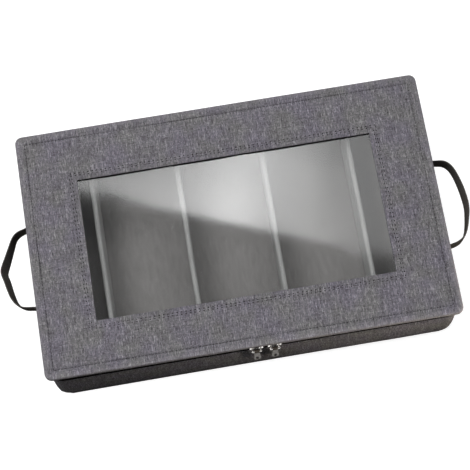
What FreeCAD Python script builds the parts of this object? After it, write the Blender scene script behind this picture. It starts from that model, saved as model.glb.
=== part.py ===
import FreeCAD, Part
import math
import os
import re

import Sketcher

# Zippered fabric storage case. A boxed body with four dividers carries a lid with a clear window. The lid
# swings on a fabric hinge along the back, a zipper with two sliders closes it on the other three sides, and
# each short end has a webbing handle.
#
# Millimetres. The origin is the centre of the underside, +X is the case's right-hand end, -Y the zipper side
# and +Z up.

SIZES = {
    # Layers of the walls and the lid
    "fabric_thickness": 0.8,
    "board_thickness": 2.0,
    "lining_thickness": 0.8,
    "pad_thickness": 3.0,
    "soft_gap": 0.3,
    "cut_overrun": 5.0,
    # Body
    "body_length": 396.0,
    "body_width": 246.0,
    "rim_height": 67.0,
    "body_corner_radius": 14.0,
    "base_edge_height": 5.0,
    "base_edge_radius": 3.0,
    # Lid
    "lid_hem": 0.9,
    "lid_overhang": 2.0,
    "lid_setback": 0.3,
    "lid_corner_radius": 7.0,
    "lid_edge_radius": 1.2,
    "border_side": 55.5,
    "border_front": 50.0,
    "border_back": 54.0,
    "window_thickness": 0.5,
    "window_seam": 12.0,
    # Zipper
    "zip_gap": 8.0,
    "zip_end_margin": 24.0,
    "tape_thickness": 0.6,
    "tape_seam": 8.0,
    "tape_gap": 0.15,
    "tooth_pitch": 4.0,
    "tooth_root_width": 1.2,
    "tooth_tip_width": 1.8,
    "tooth_height": 2.6,
    "tooth_engagement": 1.6,
    "tooth_thickness": 2.4,
    "stop_length": 3.0,
    # Sliders and pulls
    "slider_offset": 9.5,
    "slider_spacing": 4.5,
    "slider_length": 13.0,
    "slider_gap": 0.4,
    "slider_lip": 0.8,
    "slider_plate": 1.0,
    "slider_clearance": 0.3,
    "wedge_length": 4.0,
    "wedge_height": 2.4,
    "wedge_setback": 1.0,
    "bail_length": 9.4,
    "bail_stand": 4.0,
    "bail_bar": 1.4,
    "eye_clearance": 0.1,
    "eye_wall": 0.8,
    "eye_side_gap": 0.8,
    "pull_length": 30.0,
    "pull_width": 7.0,
    "pull_neck_width": 4.4,
    "pull_thickness": 1.2,
    "pull_slot_length": 9.0,
    "pull_slot_width": 2.4,
    # Handles
    "webbing_width": 16.0,
    "webbing_thickness": 1.6,
    "handle_span": 82.0,
    "handle_offset": 3.0,
    "handle_drop": 19.0,
    "handle_reach": 36.5,
    "handle_root_reach": 15.0,
    "handle_sewn_length": 22.0,
    "handle_root_radius": 4.0,
    "handle_bend_radius": 12.0,
    # Dividers
    "divider_pitch": 85.5,
    "divider_offset": 4.0,
    "divider_thickness": 5.0,
    "divider_drop": 11.0,
    "divider_board_thickness": 2.0,
}
DIVIDER_COUNT = 4

# Heights that several pieces share
BASE_BOARD_TOP = "fabric_thickness + board_thickness"
PAD_TOP = f"{BASE_BOARD_TOP} + pad_thickness"
CHAIN_HEIGHT = "rim_height + zip_gap / 2"
HANDLE_HEIGHT = "rim_height - handle_drop"
LID_BOTTOM = "rim_height + zip_gap"
LID_THICKNESS = "fabric_thickness + window_thickness + board_thickness + lining_thickness + lid_hem"
LID_TOP = f"{LID_BOTTOM} + {LID_THICKNESS}"
WINDOW_BOTTOM = f"{LID_TOP} - fabric_thickness - window_thickness"
LID_BOARD_BOTTOM = f"{WINDOW_BOTTOM} - board_thickness"
LID_LINING_BOTTOM = f"{LID_BOARD_BOTTOM} - lining_thickness"

# Depths in from the outside of the walls
BOARD_DEPTH = "fabric_thickness"
LINING_DEPTH = "fabric_thickness + board_thickness"
INSIDE_DEPTH = f"{LINING_DEPTH} + lining_thickness"
TAPE_DEPTH = "fabric_thickness + tape_gap"
TAPE_MIDDLE_DEPTH = f"{TAPE_DEPTH} + tape_thickness / 2"

# The zipper's teeth stand on the edges of its two tapes and overlap at the chain's height
TOOTH_ROOT_REACH = "tooth_height - tooth_engagement / 2"
CHANNEL_HALF_DEPTH = "tooth_thickness / 2 + slider_clearance"
CHANNEL_HALF_HEIGHT = f"{TOOTH_ROOT_REACH} + slider_clearance"
SLIDER_MOUTH_HALF_HEIGHT = "zip_gap / 2 - slider_gap"
SLIDER_TAIL_HALF_HEIGHT = f"{CHANNEL_HALF_HEIGHT} + slider_lip"
SLIDER_HALF_PITCH = "(slider_length + slider_spacing) / 2"
BAIL_AXIS_DEPTH = f"{CHANNEL_HALF_DEPTH} + slider_plate + bail_stand - bail_bar / 2"
EYE_RADIUS = "bail_bar * sqrt(2) / 2 + eye_clearance"
EYE_WIDTH = "bail_length - 2 * bail_bar - 2 * eye_side_gap"

# A slider's plate is narrow up to the first share of its length from the tail, full-width from the second
SLIDER_SHOULDER_SHARES = (0.35, 0.65)

# Roundings that stop just short of a full half circle: shares of the half width that they round
PULL_SLOT_ROUND_SHARE = 0.98
DIVIDER_CROWN_SHARE = 0.96

# Plan routes of the webbing, from the back seam to the front one: shares of the reach and of the span
LEFT_ROUTE_SHARES = ((0.53, 0.42), (1.0, 0.0), (0.7, -0.38))
RIGHT_ROUTE_SHARES = ((0.46, 0.46), (0.91, -0.04), (0.78, -0.38))

doc = FreeCAD.newDocument("StorageCase")
sheet = doc.addObject("Spreadsheet::Sheet", "Sizes")
for row, (size_name, number) in enumerate(SIZES.items(), start=1):
    sheet.set(f"A{row}", size_name)
    sheet.set(f"B{row}", str(number))
    sheet.setAlias(f"B{row}", size_name)
doc.recompute()

pieces = []


def formula(text):
    """Point every size named in an expression at its cell in the sheet."""
    return re.sub(r"[a-z_]+", lambda word: f"Sizes.{word[0]}" if word[0] in SIZES else word[0], text)


def value(text):
    """The number that an expression gives."""
    return float(sheet.evalExpression(formula(text)))


def bind(item, **expressions):
    """Tie properties of an item to expressions; two underscores in a name stand for a dot."""
    for name, text in expressions.items():
        item.setExpression(name.replace("__", "."), formula(text))


def new_piece(kind, label):
    """Add a sub-part of the case, whose label names its file."""
    piece = doc.addObject(kind, label)
    pieces.append(piece)
    return piece


def new_sketch(body, plane_role, **offsets):
    """Add a sketch on one of the body's own planes, shifted by expressions for x, y and z in that plane."""
    sketch = body.newObject("Sketcher::SketchObject", "Sketch")
    plane = next(item for item in body.Origin.OriginFeatures if item.Role == plane_role)
    sketch.AttachmentSupport = [(plane, "")]
    sketch.MapMode = "FlatFace"
    for axis, text in offsets.items():
        sketch.setExpression(f"AttachmentOffset.Base.{axis}", formula(text))
    return sketch


def constrain(sketch, kind, places, text):
    """Add a dimension to a sketch and tie it to an expression."""
    index = sketch.addConstraint(Sketcher.Constraint(kind, *places, value(text)))
    sketch.setExpression(f"Constraints[{index}]", formula(text))


def add_polygon(sketch, corners):
    """Draw a closed polygon through corners given as pairs of expressions, each placed from the origin."""
    first = sketch.GeometryCount
    points = [FreeCAD.Vector(value(x), value(y), 0) for x, y in corners]
    for start, end in zip(points, points[1:] + points[:1]):
        sketch.addGeometry(Part.LineSegment(start, end))
    for index, (x, y) in enumerate(corners):
        line = first + index
        following = first + (index + 1) % len(corners)
        sketch.addConstraint(Sketcher.Constraint("Coincident", line, 2, following, 1))
        for kind, text in (("DistanceX", x), ("DistanceY", y)):
            if value(text) < 0:
                constrain(sketch, kind, (line, 1, -1, 1), f"-({text})")
            else:
                constrain(sketch, kind, (-1, 1, line, 1), text)


def add_circle(sketch, radius, y="0"):
    """Draw a circle on the sketch's vertical axis."""
    centre = FreeCAD.Vector(0, value(y), 0)
    index = sketch.addGeometry(Part.Circle(centre, FreeCAD.Vector(0, 0, 1), value(radius)))
    sketch.addConstraint(Sketcher.Constraint("PointOnObject", index, 3, -2))
    if value(y) < 0:
        constrain(sketch, "DistanceY", (index, 3, -1, 1), f"-({y})")
    else:
        constrain(sketch, "DistanceY", (-1, 1, index, 3), y)
    constrain(sketch, "Radius", (index,), radius)


def add_rectangle(sketch, left, right, front, back, radius=None):
    """Draw a rectangle by its sides' distances from the origin, with round corners if given a radius."""
    if radius is None:
        low_x, low_y = f"-({left})", f"-({front})"
        add_polygon(sketch, [(low_x, low_y), (right, low_y), (right, back), (low_x, back)])
        return
    first = sketch.GeometryCount
    corner = value(radius)
    low_x, high_x, low_y, high_y = -value(left), value(right), -value(front), value(back)
    centres = [
        FreeCAD.Vector(high_x - corner, low_y + corner, 0),
        FreeCAD.Vector(high_x - corner, high_y - corner, 0),
        FreeCAD.Vector(low_x + corner, high_y - corner, 0),
        FreeCAD.Vector(low_x + corner, low_y + corner, 0),
    ]
    up = FreeCAD.Vector(0, 0, 1)
    for side, centre in enumerate(centres):
        before = centres[side - 1]
        turn = math.radians(90 * (side - 1))
        outward = FreeCAD.Vector(math.cos(turn), math.sin(turn), 0) * corner
        sketch.addGeometry(Part.LineSegment(before + outward, centre + outward))
        sketch.addGeometry(Part.ArcOfCircle(Part.Circle(centre, up, corner), turn, turn + math.radians(90)))
    for step in range(8):
        sketch.addConstraint(Sketcher.Constraint("Tangent", first + step, 2, first + (step + 1) % 8, 1))
    for side, kind in enumerate(("Horizontal", "Vertical", "Horizontal", "Vertical")):
        sketch.addConstraint(Sketcher.Constraint(kind, first + 2 * side))
    for arc in (3, 5, 7):
        sketch.addConstraint(Sketcher.Constraint("Equal", first + 1, first + arc))
    constrain(sketch, "Radius", (first + 1,), radius)
    constrain(sketch, "DistanceY", (first, 1, -1, 1), front)
    constrain(sketch, "DistanceX", (-1, 1, first + 2, 1), right)
    constrain(sketch, "DistanceY", (-1, 1, first + 4, 1), back)
    constrain(sketch, "DistanceX", (first + 6, 1, -1, 1), left)


def pad(body, sketch, length, symmetric=False):
    """Raise a sketch into solid along its plane's normal, or both ways alike."""
    feature = body.newObject("PartDesign::Pad", "Pad")
    feature.Profile = sketch
    feature.SideType = "Symmetric" if symmetric else "One side"
    bind(feature, Length=length)
    doc.recompute()
    return feature


def pocket(body, sketch, depth=None, upward=False, symmetric=False):
    """Cut a sketch out of the solid below it, above it or on both sides, all the way with no depth."""
    before = body.Shape.Volume
    feature = body.newObject("PartDesign::Pocket", "Pocket")
    feature.Profile = sketch
    feature.Reversed = upward
    feature.SideType = "Symmetric" if symmetric else "One side"
    if depth is None:
        feature.Type = "ThroughAll"
    else:
        bind(feature, Length=depth)
    doc.recompute()
    if not feature.Shape.Volume < before:
        raise RuntimeError(f"a pocket of {body.Label} cuts nothing")
    return feature


def round_edges(body, radius, chosen):
    """Round the edges of a body for which the test holds."""
    base = body.Tip
    names = [f"Edge{index}" for index, edge in enumerate(base.Shape.Edges, start=1) if chosen(edge)]
    feature = body.newObject("PartDesign::Fillet", "Fillet")
    feature.Base = (base, names)
    bind(feature, Radius=radius)
    doc.recompute()
    return feature


def lies_level(edge, height):
    """Whether an edge lies in the horizontal plane at a height."""
    return all(abs(vertex.Z - value(height)) < Part.Precision.confusion() for vertex in edge.Vertexes)


def around_body(depth):
    """The body's outline, a depth in from the outside of its walls."""
    length_reach = f"body_length / 2 - ({depth})"
    width_reach = f"body_width / 2 - ({depth})"
    return (length_reach, length_reach, width_reach, width_reach, f"body_corner_radius - ({depth})")


def around_lid(depth):
    """The lid's outline, a depth in from its edge. It overhangs the body except along the hinge."""
    side = f"body_length / 2 + lid_overhang - ({depth})"
    front = f"body_width / 2 + lid_overhang - ({depth})"
    back = f"body_width / 2 - lid_setback - ({depth})"
    return (side, side, front, back, f"lid_corner_radius - ({depth})")


def around_window(margin):
    """The window's opening in the lid, widened by a margin."""
    side = f"body_length / 2 + lid_overhang - border_side + ({margin})"
    front = f"body_width / 2 + lid_overhang - border_front + ({margin})"
    back = f"body_width / 2 - lid_setback - border_back + ({margin})"
    return (side, side, front, back)


def make_panel(label, bottom, thickness, *outlines):
    """A piece of even height whose plan is one outline, less the next where there are two."""
    body = new_piece("PartDesign::Body", label)
    sketch = new_sketch(body, "XY_Plane", z=bottom)
    for outline in outlines:
        add_rectangle(sketch, *outline)
    pad(body, sketch, thickness)
    return body


def make_box(label, add, length, width, height, x, y, z):
    """A block by its sizes and its low corner, added as a sub-part or as a helper of one."""
    box = add("Part::Box", label)
    bind(box, Length=length, Width=width, Height=height)
    bind(box, Placement__Base__x=x, Placement__Base__y=y, Placement__Base__z=z)
    return box


def trim_along_width(body, keep_front, limit):
    """Cut off everything of a body behind, or in front of, a limit across the width."""
    middle = f"{limit} + body_width" if keep_front else f"{limit} - body_width"
    sketch = new_sketch(body, "XY_Plane", y=middle)
    add_rectangle(sketch, "body_length", "body_length", "body_width", "body_width")
    pocket(body, sketch, symmetric=True)


def make_base():
    """Underside fabric with its rounded, seam-thick edge, the board in it and the padded floor on top."""
    cover = make_panel("base_cover", "0", "base_edge_height", around_body("0"))
    round_edges(cover, "base_edge_radius", lambda edge: lies_level(edge, "0"))
    hollow = new_sketch(cover, "XY_Plane", z="base_edge_height")
    add_rectangle(hollow, *around_body("base_edge_radius"))
    pocket(cover, hollow, "base_edge_height - fabric_thickness")
    board_outline = around_body("base_edge_radius + soft_gap")
    make_panel("base_board", "fabric_thickness", "board_thickness", board_outline)
    make_panel("floor_pad", BASE_BOARD_TOP, "pad_thickness", around_body(f"{INSIDE_DEPTH} + soft_gap"))


def make_walls():
    """Outer fabric, stiff boards between the rounded corners, and lining."""
    wall_height = "rim_height - base_edge_height"
    for label, outer_depth, inner_depth in (
        ("wall_cover", "0", BOARD_DEPTH),
        ("wall_lining", LINING_DEPTH, INSIDE_DEPTH),
    ):
        ring = (around_body(outer_depth), around_body(inner_depth))
        make_panel(label, "base_edge_height", wall_height, *ring)
    board_height = f"{wall_height} - tape_seam - soft_gap"
    long_board = "body_length - 2 * body_corner_radius"
    short_board = "body_width - 2 * body_corner_radius"
    far_depth = f"{BOARD_DEPTH} + board_thickness"
    for label, y in (
        ("front_wall_board", f"{BOARD_DEPTH} - body_width / 2"),
        ("back_wall_board", f"body_width / 2 - ({far_depth})"),
    ):
        make_box(
            label, new_piece, long_board, "board_thickness", board_height,
            f"-({long_board}) / 2", y, "base_edge_height",
        )
    for label, x in (
        ("left_wall_board", f"{BOARD_DEPTH} - body_length / 2"),
        ("right_wall_board", f"body_length / 2 - ({far_depth})"),
    ):
        make_box(
            label, new_piece, "board_thickness", short_board, board_height,
            x, f"-({short_board}) / 2", "base_edge_height",
        )


def make_lid():
    """Fabric cover with a turned-down edge and an opening, the clear sheet, the board frame and lining."""
    cover = make_panel("lid_cover", LID_BOTTOM, LID_THICKNESS, around_lid("0"))
    round_edges(cover, "lid_edge_radius", lambda edge: lies_level(edge, LID_TOP))
    hollow = new_sketch(cover, "XY_Plane", z=LID_BOTTOM)
    add_rectangle(hollow, *around_lid("fabric_thickness"))
    pocket(cover, hollow, f"{LID_THICKNESS} - fabric_thickness", upward=True)
    opening = new_sketch(cover, "XY_Plane", z=LID_BOTTOM)
    add_rectangle(opening, *around_window("0"))
    pocket(cover, opening, upward=True)
    make_panel("window_sheet", WINDOW_BOTTOM, "window_thickness", around_window("window_seam"))
    inside_edge = around_lid("fabric_thickness + soft_gap")
    make_panel("lid_board", LID_BOARD_BOTTOM, "board_thickness", inside_edge, around_window("0"))
    make_panel("lid_lining", LID_LINING_BOTTOM, "lining_thickness", inside_edge, around_window("0"))


def make_hinge_strip():
    """Fabric that joins the lid to the body along the back and round its corners to the zipper's ends."""
    ring = (around_body("0"), around_body("fabric_thickness"))
    strip = make_panel("hinge_strip", "rim_height", "zip_gap", *ring)
    trim_along_width(strip, False, "body_width / 2 - zip_end_margin + soft_gap")


def make_zip_tapes():
    """Two woven tapes: one sewn in behind the walls' rim, the other hanging from the lid."""
    ring = (around_body(TAPE_DEPTH), around_body(f"{TAPE_DEPTH} + tape_thickness"))
    lower_bottom = "rim_height - tape_seam"
    lower = make_panel(
        "lower_zip_tape", lower_bottom, f"{CHAIN_HEIGHT} - ({TOOTH_ROOT_REACH}) - ({lower_bottom})", *ring
    )
    upper_bottom = f"{CHAIN_HEIGHT} + {TOOTH_ROOT_REACH}"
    upper = make_panel("upper_zip_tape", upper_bottom, f"{LID_LINING_BOTTOM} - ({upper_bottom})", *ring)
    for tape in (lower, upper):
        trim_along_width(tape, True, "body_width / 2 - zip_end_margin")


def zip_place(distance, height):
    """Placement on the zipper's line, a distance from its left back end, heading along the line."""
    reach_x = value(f"body_length / 2 - ({TAPE_MIDDLE_DEPTH})")
    reach_y = value(f"body_width / 2 - ({TAPE_MIDDLE_DEPTH})")
    radius = value(f"body_corner_radius - ({TAPE_MIDDLE_DEPTH})")
    end_y = value("body_width / 2 - zip_end_margin")
    side_run = end_y + reach_y - radius
    corner_run = radius * math.pi / 2
    half_length = side_run + corner_run + reach_x - radius
    mirrored = distance > half_length
    along = 2 * half_length - distance if mirrored else distance
    if along < side_run:
        x, y, heading = -reach_x, end_y - along, -90.0
    elif along < side_run + corner_run:
        turn = (along - side_run) / radius
        x = radius * (1 - math.cos(turn)) - reach_x
        y = radius * (1 - math.sin(turn)) - reach_y
        heading = math.degrees(turn) - 90
    else:
        x, y, heading = along - half_length, -reach_y, 0.0
    if mirrored:
        x, heading = -x, -heading
    rotation = FreeCAD.Rotation(FreeCAD.Vector(0, 0, 1), heading)
    return FreeCAD.Placement(FreeCAD.Vector(x, y, height), rotation), 2 * half_length


def make_tooth(upward):
    """One tooth, wider at its tip than at the tape, that stands up or hangs down across the chain."""
    side = 1 if upward else -1
    root = -side * value(TOOTH_ROOT_REACH)
    tip = root + side * value("tooth_height")
    half_root = value("tooth_root_width") / 2
    half_tip = value("tooth_tip_width") / 2
    face_y = -value("tooth_thickness") / 2
    outline = [(-half_root, root), (half_root, root), (half_tip, tip), (-half_tip, tip), (-half_root, root)]
    face = Part.Face(Part.makePolygon([FreeCAD.Vector(x, face_y, z) for x, z in outline]))
    return face.extrude(FreeCAD.Vector(0, value("tooth_thickness"), 0))


def make_zip_teeth():
    """Two rows of teeth that mesh along three sides, and the stops that end the lower row.

    Between the two sliders the rows are parted, so no tooth stands by the wedges that part them."""
    height = value(CHAIN_HEIGHT)
    pitch = value("tooth_pitch")
    first = value("stop_length") + pitch
    line_length = zip_place(0, height)[1]
    wedge_tail = value("slider_length / 2 - wedge_setback - wedge_length")
    parted = value(f"{SLIDER_HALF_PITCH} + tooth_tip_width / 2 + slider_clearance") - wedge_tail
    middle = line_length / 2 + value("slider_offset")
    for label, upward, start in (
        ("lower_zip_teeth", True, first),
        ("upper_zip_teeth", False, first + pitch / 2),
    ):
        tooth = make_tooth(upward)
        row = []
        for index in range(int((line_length - first - start) / pitch) + 1):
            distance = start + index * pitch
            if abs(distance - middle) > parted:
                row.append(tooth.transformed(zip_place(distance, height)[0].toMatrix()))
        new_piece("Part::Feature", label).Shape = Part.makeCompound(row)
    length = value("stop_length")
    root_reach = value(TOOTH_ROOT_REACH)
    thickness = value("tooth_thickness")
    stops = []
    for distance in (length / 2, line_length - length / 2):
        low_corner = FreeCAD.Vector(-length / 2, -thickness / 2, -root_reach)
        block = Part.makeBox(length, thickness, 2 * root_reach - value("soft_gap"), low_corner)
        stops.append(block.transformed(zip_place(distance, height)[0].toMatrix()))
    new_piece("Part::Feature", "zip_end_stops").Shape = Part.makeCompound(stops)


def slider_edge(half_mouth, half_tail):
    """One edge of a slider's plate from tail to mouth: narrow, flaring, then wide."""
    narrow_end, wide_start = SLIDER_SHOULDER_SHARES
    return [
        ("-slider_length / 2", half_tail),
        (f"slider_length * ({narrow_end} - 1 / 2)", half_tail),
        (f"slider_length * ({wide_start} - 1 / 2)", half_mouth),
        ("slider_length / 2", half_mouth),
    ]


def mirror_edge(edge):
    """The same edge on the other side of the slider's middle line, run the other way."""
    return [(x, f"-({z})") for x, z in reversed(edge)]


def make_slider(label, side):
    """Zipper slider: two plates joined by the wedge that parts the rows, lips round the tapes, and a bail.

    It is drawn with its mouth towards +X and its outer plate towards -Y, and turned about on the right."""
    body = new_piece("PartDesign::Body", label)
    outer_edge = slider_edge(SLIDER_MOUTH_HALF_HEIGHT, SLIDER_TAIL_HALF_HEIGHT)
    inner_edge = slider_edge(f"{SLIDER_MOUTH_HALF_HEIGHT} - slider_lip", CHANNEL_HALF_HEIGHT)
    slot_half = "tape_thickness / 2 + slider_clearance"
    wedge_mouth = "slider_length / 2 - wedge_setback"
    wedge_corners = [
        (f"{wedge_mouth} - wedge_length", "0"),
        (f"{wedge_mouth} - wedge_length / 2", "-wedge_height / 2"),
        (wedge_mouth, "0"),
        (f"{wedge_mouth} - wedge_length / 2", "wedge_height / 2"),
    ]
    lip_depth = f"{CHANNEL_HALF_DEPTH} - ({slot_half})"
    lip_outline = inner_edge + outer_edge[::-1]
    lips = (lip_outline, mirror_edge(outer_edge) + mirror_edge(inner_edge)[::-1])
    plate = outer_edge + mirror_edge(outer_edge)
    layers = (
        (CHANNEL_HALF_DEPTH, "slider_plate", [plate]),
        (f"-({CHANNEL_HALF_DEPTH})", f"2 * ({CHANNEL_HALF_DEPTH})", [wedge_corners]),
        (f"-({CHANNEL_HALF_DEPTH} + slider_plate)", "slider_plate", [plate]),
        (slot_half, lip_depth, lips),
        (f"-({CHANNEL_HALF_DEPTH})", lip_depth, lips),
    )
    for start, thickness, outlines in layers:
        sketch = new_sketch(body, "XZ_Plane", z=start)
        for outline in outlines:
            add_polygon(sketch, outline)
        pad(body, sketch, thickness)
    foot = f"-({CHANNEL_HALF_DEPTH} + slider_plate)"
    crown = f"{foot} - bail_stand"
    bail = new_sketch(body, "XY_Plane")
    bail_half = "bail_length / 2"
    inside_half = "bail_length / 2 - bail_bar"
    add_polygon(bail, [
        (f"-{bail_half}", foot), (f"-{bail_half}", crown), (bail_half, crown), (bail_half, foot),
        (inside_half, foot), (inside_half, f"{crown} + bail_bar"),
        (f"-({inside_half})", f"{crown} + bail_bar"), (f"-({inside_half})", foot),
    ])
    pad(body, bail, "bail_bar", symmetric=True)
    if side > 0:
        body.Placement.Rotation = FreeCAD.Rotation(FreeCAD.Vector(0, 1, 0), 180)
    bind(
        body,
        Placement__Base__x=f"slider_offset + {side} * {SLIDER_HALF_PITCH}",
        Placement__Base__y=f"{TAPE_MIDDLE_DEPTH} - body_width / 2",
        Placement__Base__z=CHAIN_HEIGHT,
    )


def make_pull(label, side):
    """Pull tab whose rolled eye turns on a slider's bail. It widens downwards to a slotted, round end."""
    body = new_piece("PartDesign::Body", label)
    round_centre = "pull_width / 2 - pull_length"
    tab = new_sketch(body, "XZ_Plane")
    add_polygon(tab, [
        ("pull_neck_width / 2", "0"), ("-pull_neck_width / 2", "0"),
        ("-pull_width / 2", round_centre), ("pull_width / 2", round_centre),
    ])
    pad(body, tab, "pull_thickness", symmetric=True)
    end = new_sketch(body, "XZ_Plane")
    add_circle(end, "pull_width / 2", round_centre)
    pad(body, end, "pull_thickness", symmetric=True)
    eye = new_sketch(body, "YZ_Plane")
    add_circle(eye, f"{EYE_RADIUS} + eye_wall")
    pad(body, eye, EYE_WIDTH, symmetric=True)
    bore = new_sketch(body, "YZ_Plane")
    add_circle(bore, EYE_RADIUS)
    pocket(body, bore, symmetric=True)
    slot = new_sketch(body, "XZ_Plane", y=round_centre)
    half_slot = "pull_slot_width / 2"
    slot_round = f"{half_slot} * {PULL_SLOT_ROUND_SHARE}"
    add_rectangle(slot, half_slot, half_slot, half_slot, f"pull_slot_length - {half_slot}", slot_round)
    pocket(body, slot, symmetric=True)
    bind(
        body,
        Placement__Base__x=f"slider_offset + {side} * {SLIDER_HALF_PITCH}",
        Placement__Base__y=f"{TAPE_MIDDLE_DEPTH} - body_width / 2 - ({BAIL_AXIS_DEPTH})",
        Placement__Base__z=CHAIN_HEIGHT,
    )


def rounded_route(corners, radii):
    """A wire of straight runs through the corners, with a tangent arc at each inner corner."""
    edges = []
    start = corners[0]
    for before, corner, after, radius in zip(corners, corners[1:], corners[2:], radii):
        back = (before - corner).normalize()
        ahead = (after - corner).normalize()
        half_angle = back.getAngle(ahead) / 2
        tangent = radius / math.tan(half_angle)
        towards_centre = (back + ahead).normalize()
        middle = corner + towards_centre * (radius / math.sin(half_angle) - radius)
        edges.append(Part.makeLine(start, corner + back * tangent))
        edges.append(Part.Arc(corner + back * tangent, middle, corner + ahead * tangent).toShape())
        start = corner + ahead * tangent
    edges.append(Part.makeLine(start, corners[-1]))
    return Part.Wire(edges)


def make_handle(name, side, route_shares):
    """Webbing handle on one short end: two sewn ends, flexing roots beside them and the grip in between."""
    wall_x = "body_length / 2"
    half_thickness = value("webbing_thickness") / 2
    middle_y = -value("handle_offset")
    span = value("handle_span")
    reach = value("handle_reach") - half_thickness
    height = value(HANDLE_HEIGHT)
    lead_length = "handle_root_radius + soft_gap"
    lead = value(lead_length)
    plan = [(half_thickness, span / 2 + lead), (half_thickness, span / 2)]
    plan += [(out_share * reach, along_share * span) for out_share, along_share in route_shares]
    plan += [(half_thickness, -span / 2), (half_thickness, -span / 2 - lead)]
    wall = value(wall_x)
    corners = [FreeCAD.Vector(side * (wall + out), middle_y + along, height) for out, along in plan]
    root_radius = value("handle_root_radius")
    bends = [value("handle_bend_radius")] * len(route_shares)
    route = doc.addObject("Part::Feature", f"{name}_handle_route")
    route.Shape = rounded_route(corners, [root_radius, *bends, root_radius])
    section = doc.addObject("Sketcher::SketchObject", f"{name}_handle_section")
    add_rectangle(section, *["webbing_thickness / 2"] * 2, *["webbing_width / 2"] * 2)
    section.Placement = FreeCAD.Placement(corners[0], FreeCAD.Rotation(FreeCAD.Vector(1, 0, 0), 90))
    strap = doc.addObject("Part::Sweep", f"{name}_handle_strap")
    strap.Sections = [section]
    strap.Spine = route
    strap.Solid = True
    strap.Frenet = False
    half_space = make_box(
        f"{name}_handle_root_space", doc.addObject,
        "handle_root_reach + cut_overrun", "body_width", "rim_height",
        f"{wall_x} - cut_overrun" if side > 0 else f"-{wall_x} - handle_root_reach", "-body_width / 2", "0",
    )
    for label, kind in ((f"{name}_handle_roots", "Part::Common"), (f"{name}_handle_grip", "Part::Cut")):
        part = new_piece(kind, label)
        part.Base = strap
        part.Tool = half_space
    ends = new_piece("Part::Compound", f"{name}_handle_sewn_ends")
    end_start = f"handle_span / 2 + {lead_length}"
    ends.Links = [
        make_box(
            f"{name}_handle_{place}_end", doc.addObject,
            "webbing_thickness", "handle_sewn_length", "webbing_width",
            wall_x if side > 0 else f"-{wall_x} - webbing_thickness", y,
            f"{HANDLE_HEIGHT} - webbing_width / 2",
        )
        for place, y in (
            ("back", f"{end_start} - handle_offset"),
            ("front", f"-({end_start}) - handle_sewn_length - handle_offset"),
        )
    ]


def make_dividers():
    """Upright dividers across the body, each a folded sleeve with a rounded top over a stiff board."""
    length = f"body_width - 2 * ({INSIDE_DEPTH}) - 2 * soft_gap"
    foot = f"{PAD_TOP} + soft_gap"
    half_thickness = "divider_thickness / 2"
    half_slot = "divider_board_thickness / 2 + soft_gap"
    height = f"rim_height - divider_drop - ({foot})"
    slot_top = f"{height} - {half_thickness} - ({half_slot})"
    for index in range(DIVIDER_COUNT):
        x = f"({index} - ({DIVIDER_COUNT} - 1) / 2) * divider_pitch - divider_offset"
        sleeve = new_piece("PartDesign::Body", f"divider_{index + 1}_sleeve")
        section = new_sketch(sleeve, "XZ_Plane")
        add_polygon(section, [
            (f"-{half_thickness}", "0"), (f"-({half_slot})", "0"), (f"-({half_slot})", slot_top),
            (half_slot, slot_top), (half_slot, "0"), (half_thickness, "0"),
            (half_thickness, height), (f"-{half_thickness}", height),
        ])
        pad(sleeve, section, length, symmetric=True)
        round_edges(
            sleeve, f"{half_thickness} * {DIVIDER_CROWN_SHARE}",
            lambda edge: lies_level(edge, height) and edge.Length > value("divider_thickness"),
        )
        bind(sleeve, Placement__Base__x=x, Placement__Base__z=foot)
        make_box(
            f"divider_{index + 1}_board", new_piece,
            "divider_board_thickness", f"{length} - 2 * soft_gap", f"{slot_top} - soft_gap",
            f"{x} - divider_board_thickness / 2", f"soft_gap - ({length}) / 2", foot,
        )


make_base()
make_walls()
make_lid()
make_hinge_strip()
make_zip_tapes()
make_zip_teeth()
for side_name, side_sign in (("left", -1), ("right", 1)):
    make_slider(f"{side_name}_slider", side_sign)
    make_pull(f"{side_name}_pull", side_sign)
make_handle("left", -1, LEFT_ROUTE_SHARES)
make_handle("right", 1, RIGHT_ROUTE_SHARES)
make_dividers()
doc.recompute()

for item in doc.Objects:
    if {"Invalid", "Error"} & set(item.State):
        raise RuntimeError(f"{item.Label} failed: {item.State}")
for piece in pieces:
    if piece.Shape.isNull() or not piece.Shape.isValid():
        raise RuntimeError(f"{piece.Label} has no valid shape")

os.makedirs("parts", exist_ok=True)
for piece in pieces:
    piece.Shape.exportStep(f"parts/{piece.Label}.step")
print(f"{len(pieces)} pieces written")
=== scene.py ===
import math
from collections import namedtuple

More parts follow.
